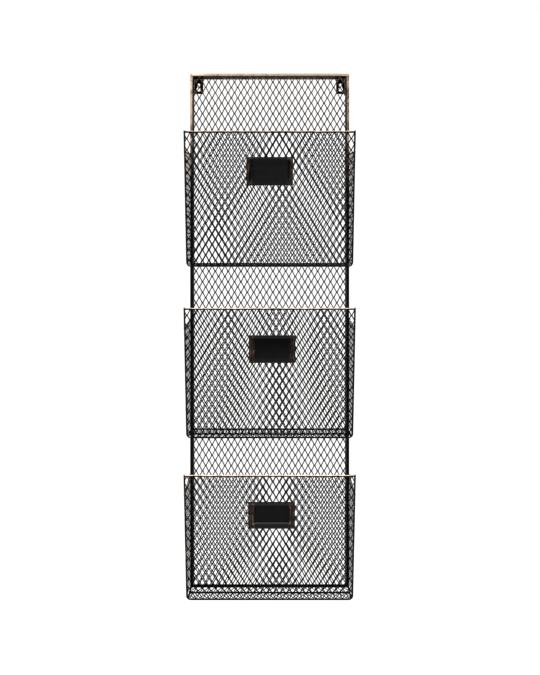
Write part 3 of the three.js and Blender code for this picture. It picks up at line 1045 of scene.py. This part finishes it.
@dataclass
class Label:
    """A stamped label holder on the front mesh, and the card that slides in it."""

    pocket: Pocket
    corner_steps: int = 4
    wall: float = 0.003
    sheet: float = 0.0008
    slot: float = 0.0014
    window: tuple[float, float] = (0.061, 0.0305)
    window_below_top: float = 0.0072
    side_wear: float = 0.27
    edge_wear: float = 0.5
    unworn: float = -0.12
    inverse: Matrix = field(init=False)
    low: Vector = field(init=False)
    high: Vector = field(init=False)

    def __post_init__(self) -> None:
        """Reads the holder's place on the pocket's front."""
        self.inverse = self.pocket.front_face.inverted()
        self.low, self.high = self.flat_box("label_holder")

    def flat_box(self, part: str) -> tuple[Vector, Vector]:
        """The box of one of the label's nodes, measured in the plane of the pocket's front.

        Args:
            part: the node's name without the pocket's.

        Returns:
            The lowest and the highest corner: x across, y up the slope, z out of it.
        """
        node = bpy.data.objects[f"{self.pocket.name}_{part}"]
        places = [self.inverse @ v.co for v in node.data.vertices]
        low, high = (Vector([pick(p[i] for p in places) for i in range(3)]) for pick in (min, max))
        return low, high

    def loop(self, bm: bmesh.types.BMesh, ring: Ring) -> list[bmesh.types.BMEdge]:
        """Draws one rounded rectangle as a loop of edges.

        Args:
            bm: the mesh to draw in.
            ring: the rectangle.

        Returns:
            The loop's edges.
        """
        middle = Vector(((self.low.x + self.high.x) / 2, (ring.low + ring.high) / 2, ring.out))
        size = Matrix.Diagonal((ring.half_width, (ring.high - ring.low) / 2, 1, 1))
        before = set(bm.edges)
        made = bmesh.ops.create_grid(
            bm, x_segments=1, y_segments=1, size=1.0, matrix=Matrix.Translation(middle) @ size
        )
        bmesh.ops.bevel(
            bm, geom=made["verts"], offset=ring.round, segments=self.corner_steps, profile=0.5,
            material=-1, affect="VERTICES",
        )
        edges = [e for e in bm.edges if e not in before]
        faces = list({f for e in edges for f in e.link_faces})
        bmesh.ops.delete(bm, geom=faces, context="FACES_ONLY")
        layer = bm.verts.layers.float[WEAR_AND_HIGHLIGHT]
        for vert in {v for e in edges for v in e.verts}:
            vert[layer] = ring.wear
        return edges

    def rings(self) -> list[Ring]:
        """The stamped frame's profile, from its outer edge over its face to the window and back.

        Returns:
            The rings in order.
        """
        half = (self.high.x - self.low.x) / 2
        half_window = self.window[0] / 2
        window_high = self.high.y - self.window_below_top
        window_low = window_high - self.window[1]
        back = self.low.z + self.sheet + self.slot
        face = self.high.z
        dull, bright = self.side_wear, self.edge_wear
        # How much of the border each ring takes in, how far out it is, its corner, and its wear.
        profile = (
            (1.0, back, 0.0016, dull),
            (1.0, back + 0.0006, 0.0016, dull),
            (0.97, back + 0.0010, 0.0015, dull),
            (0.81, back + 0.0012, 0.0014, dull),
            (0.78, back + 0.0015, 0.0013, dull),
            (0.75, face - 0.0003, 0.0012, bright),
            (0.71, face, 0.0011, bright),
            (0.66, face, 0.0011, dull),
            (0.36, face, 0.0010, dull),
            (0.32, face, 0.0010, bright),
            (0.20, face - 0.0001, 0.0009, bright),
            (0.08, back + 0.0002, 0.0009, self.unworn),
            (0.04, back + 0.0002, 0.0007, self.unworn),
            (0.0, back + 0.0001, 0.0006, self.unworn),
            (0.0, back, 0.0006, self.unworn),
        )
        return [
            Ring(
                half_width=half_window + (half - half_window) * share,
                low=window_low + (self.low.y - window_low) * share,
                high=window_high + (self.high.y - window_high) * share,
                out=out,
                round=corner,
                wear=wear,
            )
            for share, out, corner, wear in profile
        ]

    def channel(self, bm: bmesh.types.BMesh) -> None:
        """Adds the channel that the card slides in: a back plate, two side walls and a bottom wall.

        Args:
            bm: the mesh to add it to.
        """
        low, high = self.low, self.high
        plate = low.z + self.sheet
        back = plate + self.slot
        add_block(bm, low, Vector((high.x, high.y, plate)))
        for x in (low.x, high.x - self.wall):
            add_block(bm, Vector((x, low.y, plate)), Vector((x + self.wall, high.y, back)))
        bottom = Vector((high.x - self.wall, low.y + self.wall, back))
        add_block(bm, Vector((low.x + self.wall, low.y, plate)), bottom)

    def holder(self) -> None:
        """Builds the stamped frame, whose steps run in to the window, and the channel behind it."""
        bm = bmesh.new()
        layer = bm.verts.layers.float.new(WEAR_AND_HIGHLIGHT)
        loops = [self.loop(bm, ring) for ring in self.rings()]
        for first, second in zip(loops, loops[1:] + loops[:1]):
            bmesh.ops.bridge_loops(bm, edges=first + second)
        self.channel(bm)
        bmesh.ops.recalc_face_normals(bm, faces=bm.faces[:])
        # Cut lines on the face, so that the wear can change from its sides to its top and bottom.
        middle = (self.low.x + self.high.x) / 2
        inner = self.window[0] / 2
        for across in (inner - 0.001, inner + 0.0012):
            for x in (middle - across, middle + across):
                bmesh.ops.bisect_plane(
                    bm, geom=everything(bm), dist=1e-7, plane_no=(1, 0, 0), plane_co=(x, 0, 0)
                )
        for vert in bm.verts:
            if abs(vert.co.x - middle) < inner + 0.001:
                vert[layer] = self.unworn
        bmesh.ops.transform(bm, matrix=self.pocket.front_face, verts=bm.verts[:])
        self.pocket.keep(bm, "label_holder", Finish.HOLDER)

    def card(self) -> None:
        """Builds the card, which fills the window and can be drawn out of the top."""
        low, high = self.flat_box("label_card")
        bm = bmesh.new()
        flat = Matrix.Diagonal((high.x - low.x, high.y - low.y, 1, 1))
        place = Matrix.Translation(((low.x + high.x) / 2, (low.y + high.y) / 2, low.z)) @ flat
        bmesh.ops.create_grid(bm, x_segments=18, y_segments=10, size=0.5, matrix=place)
        draw_out(bm, bm.faces[:], UP * (high.z - low.z))
        bmesh.ops.recalc_face_normals(bm, faces=bm.faces[:])
        rims = [e for e in bm.edges if e.is_manifold and e.calc_face_angle(0.0) > 1.0]
        soften(bm, rims, 0.00012, 1)
        bmesh.ops.transform(bm, matrix=self.pocket.front_face, verts=bm.verts[:])
        self.pocket.keep(bm, "label_card", Finish.CARD, f"{self.pocket.name}_card")

    def build(self) -> None:
        """Builds the holder and its card."""
        self.holder()
        self.card()


# ---------------------------------------------------------------- studio


@dataclass
class Studio:
    """A pale sweep, soft lights, and a level camera in front of the rack."""

    eye: tuple[float, float, float] = (0.0006, -1.515, -0.33455)
    sensor: float = 36.0
    lens: float = 41.26
    shift_up: float = -0.1296
    floor_z: float = -1.32
    sweep_y: float = 3.2
    sweep_half: float = 7.0
    sweep_round: float = 1.6
    sweep_rise: float = 4.5
    aim: tuple[float, float, float] = (0, -0.05, -0.45)
    daylight: float = 0.9
    contrast: float = 0.76

    def camera(self) -> None:
        """Places the camera level, with just enough shift to frame the rack."""
        data = bpy.data.cameras.new("camera")
        data.sensor_width = self.sensor
        data.lens = self.lens
        data.shift_y = self.shift_up
        camera = bpy.data.objects.new("camera", data)
        camera.location = self.eye
        camera.rotation_euler = (math.pi / 2, 0, 0)
        bpy.context.scene.collection.objects.link(camera)
        bpy.context.scene.camera = camera

    def sweep(self) -> None:
        """Builds the floor, which curves up into a far backdrop."""
        bm = bmesh.new()
        bend = self.sweep_y - self.sweep_round
        size = Matrix.Diagonal((self.sweep_half, (bend + self.sweep_half) / 2, 1, 1))
        place = Matrix.Translation((0, (bend - self.sweep_half) / 2, self.floor_z))
        bmesh.ops.create_grid(bm, x_segments=1, y_segments=1, size=1.0, matrix=place @ size)
        far = max(bm.edges, key=lambda e: e.verts[0].co.y + e.verts[1].co.y)
        hub = Vector((0, bend, self.floor_z + self.sweep_round))
        curve = bmesh.ops.spin(
            bm, geom=[far, *far.verts], cent=hub, axis=(1, 0, 0), angle=math.pi / 2, steps=24
        )
        top = only(bmesh.types.BMEdge, curve["geom_last"])
        wall = bmesh.ops.extrude_edge_only(bm, edges=top)["geom"]
        bmesh.ops.translate(bm, verts=only(bmesh.types.BMVert, wall), vec=UP * self.sweep_rise)
        bmesh.ops.remove_doubles(bm, verts=bm.verts[:], dist=1e-5)
        for face in bm.faces:
            face.smooth = True
        mesh = bpy.data.meshes.new("studio_sweep")
        bm.to_mesh(mesh)
        bm.free()
        mesh.materials.append(PaleFloor().make())
        sweep = bpy.data.objects.new("studio_sweep", mesh)
        bpy.context.scene.collection.objects.link(sweep)

    def lamp(
        self, name: str, place: Vector, size: tuple[float, float], power: float, colour: Colour
    ) -> None:
        """Adds a soft rectangular lamp that faces the rack.

        Args:
            name: the lamp's name.
            place: where it stands.
            size: its width and height.
            power: its power in watts.
            colour: its colour.
        """
        data = bpy.data.lights.new(name, "AREA")
        data.shape = "RECTANGLE"
        data.size, data.size_y = size
        data.energy = power
        data.color = colour
        lamp = bpy.data.objects.new(name, data)
        lamp.location = place
        lamp.rotation_euler = (Vector(self.aim) - place).to_track_quat("-Z", "Y").to_euler()
        bpy.context.scene.collection.objects.link(lamp)

    def lights(self) -> None:
        """Sets a broad key from the upper left, a top light for the rims, and a cool fill."""
        self.lamp("key", Vector((-1.7, -2.3, 1.5)), (1.8, 1.8), 60, (1.0, 0.985, 0.96))
        self.lamp("top", Vector((0.1, -0.9, 1.9)), (2.2, 0.9), 56, (1.0, 0.99, 0.97))
        self.lamp("fill", Vector((2.4, -1.9, 0.1)), (1.4, 2.2), 18, (0.93, 0.96, 1.0))
        world = bpy.data.worlds.new("studio")
        world.use_nodes = True
        sky = world.node_tree.nodes["Background"]
        sky.inputs["Color"].default_value = (1.0, 1.0, 1.0, 1.0)
        sky.inputs["Strength"].default_value = self.daylight
        bpy.context.scene.world = world
        view = bpy.context.scene.view_settings
        view.view_transform = "Standard"
        view.gamma = self.contrast

    def build(self) -> None:
        """Builds the whole studio."""
        self.camera()
        self.sweep()
        self.lights()


def main() -> None:
    """Builds the rack around its frame."""
    logging.basicConfig(level=logging.INFO, format="%(name)s: %(message)s")
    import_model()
    Studio().build()
    finishes = make_finishes()
    metal = ExpandedMetal()
    AngleFrame(finishes, metal).build()
    for name, phase in MESH_PHASES.items():
        Pocket(name, finishes, metal, phase).build()


if __name__ == "__main__":
    main()
